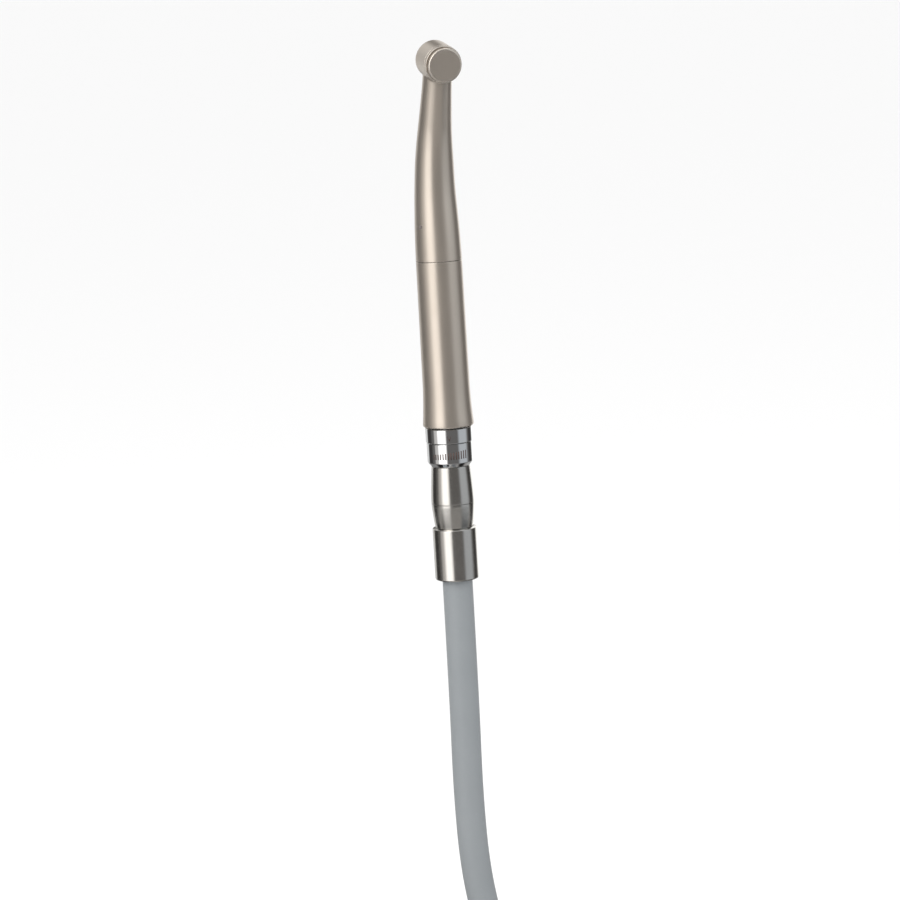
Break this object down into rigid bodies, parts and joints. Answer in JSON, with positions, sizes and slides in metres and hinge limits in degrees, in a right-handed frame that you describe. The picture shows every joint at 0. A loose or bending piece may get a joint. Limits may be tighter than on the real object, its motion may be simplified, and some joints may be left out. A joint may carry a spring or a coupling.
{
  "type": "high speed handpiece",
  "caption": "Air-driven high speed dental handpiece with a push-button turbine head, angled neck, quick coupling and a coiled four-hole hose.",
  "frame": {"origin": "centre of the coupling's conical shoulder, where the handpiece seats in a holder", "axes": "+Z along the handle towards the head, -Y the side that the neck and the push button lean to, +X completes the right-handed frame"},
  "size_m": [0.112, 0.0672, 0.4288],
  "materials": {
    "champagne_metal": "fine satin, champagne tone",
    "bright_chrome": "polished",
    "satin_steel": "satin, turned round",
    "turned_steel": "turned",
    "bearing_steel": "ground",
    "spring_steel": "plain",
    "ceramic": "polished ceramic",
    "cage_resin": "fabric-filled resin",
    "wheel_alloy": "machined",
    "seal_rubber": "matt",
    "grey_silicone": "satin",
    "strap_fabric": "hook and loop tape",
    "dot_enamel": "enamel"
  },
  "bodies": {
    "coupler": {"coupling_core": "turned_steel", "nose_o_ring_1": "seal_rubber", "nose_o_ring_2": "seal_rubber", "nose_o_ring_3": "seal_rubber", "nose_o_ring_4": "seal_rubber", "coupling_collar": "bright_chrome", "rear_sleeve": "satin_steel", "sleeve_lock_ring": "satin_steel", "hose_nut": "satin_steel", "hose_gasket": "seal_rubber", "hose_connector": "turned_steel", "hose_pipe_drive_air": "turned_steel", "hose_pipe_exhaust_air": "turned_steel", "hose_pipe_spray_water": "turned_steel", "hose_pipe_spray_air": "turned_steel", "hose_ferrule": "turned_steel", "valve_seat": "turned_steel", "valve_spring": "spring_steel", "hose": "grey_silicone", "hose_coil": "grey_silicone", "coil_strap_1": "strap_fabric", "coil_strap_2": "strap_fabric", "hose_end": "grey_silicone", "unit_ferrule": "satin_steel", "unit_face": "turned_steel", "unit_pipes": "turned_steel", "unit_nut": "satin_steel"},
    "regulator": {"water_regulator": "bright_chrome"},
    "valve": {"valve_poppet": "turned_steel"},
    "retainer": {"snap_ring": "bearing_steel"},
    "handpiece": {"handle_sleeve": "champagne_metal", "seam_gasket": "seal_rubber", "rear_socket": "turned_steel", "tube_manifold": "turned_steel", "drive_air_tube": "turned_steel", "spray_water_tube": "turned_steel", "spray_air_tube": "turned_steel", "marking_dot": "dot_enamel", "front_shell": "champagne_metal", "back_cap": "champagne_metal", "button_spring": "spring_steel", "rear_bearing_outer_ring": "bearing_steel", "front_bearing_outer_ring": "bearing_steel", "rear_bearing_o_ring": "seal_rubber", "front_bearing_o_ring": "seal_rubber", "preload_washer": "bearing_steel"},
    "button": {"push_button": "champagne_metal"},
    "rotor": {"turbine_spindle": "bearing_steel", "turbine_wheel": "wheel_alloy", "rear_bearing_inner_ring": "bearing_steel", "front_bearing_inner_ring": "bearing_steel", "chuck_spring": "spring_steel"},
    "chuck": {"chuck_collet": "bearing_steel", "chuck_plunger": "bearing_steel"},
    "rear_balls": {"rear_bearing_cage": "cage_resin", "rear_bearing_balls": "ceramic"},
    "front_balls": {"front_bearing_cage": "cage_resin", "front_bearing_balls": "ceramic"}
  },
  "joints": [
    {"name": "regulator_turn", "type": "hinge", "parent": "coupler", "child": "regulator", "pos_m": [0, 0, 0.004], "axis": [0, 0, 1], "range_deg": [0, 90]},
    {"name": "valve_lift", "type": "slide", "parent": "coupler", "child": "valve", "axis": [0, 0, 1], "range_m": [0, 0.0005], "stiffness_N_per_m": 200, "springref_m": -0.001, "deforming": ["valve_spring"]},
    {"name": "handpiece_swivel", "type": "hinge", "parent": "coupler", "child": "retainer", "pos_m": [0, 0, 0.02], "axis": [0, 0, 1], "continuous": true},
    {"name": "handpiece_release", "type": "slide", "parent": "retainer", "child": "handpiece", "axis": [0, 0, 1], "range_m": [0, 0.024]},
    {"name": "button_press", "type": "slide", "parent": "handpiece", "child": "button", "axis": [0, 0.9877, 0.1564], "range_m": [0, 0.0006], "stiffness_N_per_m": 15000, "springref_m": -0.0005, "deforming": ["button_spring"]},
    {"name": "turbine_spin", "type": "hinge", "parent": "handpiece", "child": "rotor", "pos_m": [0, -0.01196, 0.1329], "axis": [0, 0.9877, 0.1564], "continuous": true},
    {"name": "rear_balls_spin", "type": "hinge", "parent": "handpiece", "child": "rear_balls", "pos_m": [0, -0.01196, 0.1329], "axis": [0, 0.9877, 0.1564], "continuous": true},
    {"name": "front_balls_spin", "type": "hinge", "parent": "handpiece", "child": "front_balls", "pos_m": [0, -0.01196, 0.1329], "axis": [0, 0.9877, 0.1564], "continuous": true},
    {"name": "chuck_release", "type": "slide", "parent": "rotor", "child": "chuck", "axis": [0, 0.9877, 0.1564], "range_m": [0, 0.0004], "deforming": ["chuck_spring"]}
  ],
  "couplings": [
    {"joint": "rear_balls_spin", "follows": "turbine_spin", "ratio": 0.395},
    {"joint": "front_balls_spin", "follows": "turbine_spin", "ratio": 0.395},
    {"joint": "chuck_release", "follows": "button_press", "ratio": 0.65}
  ]
}
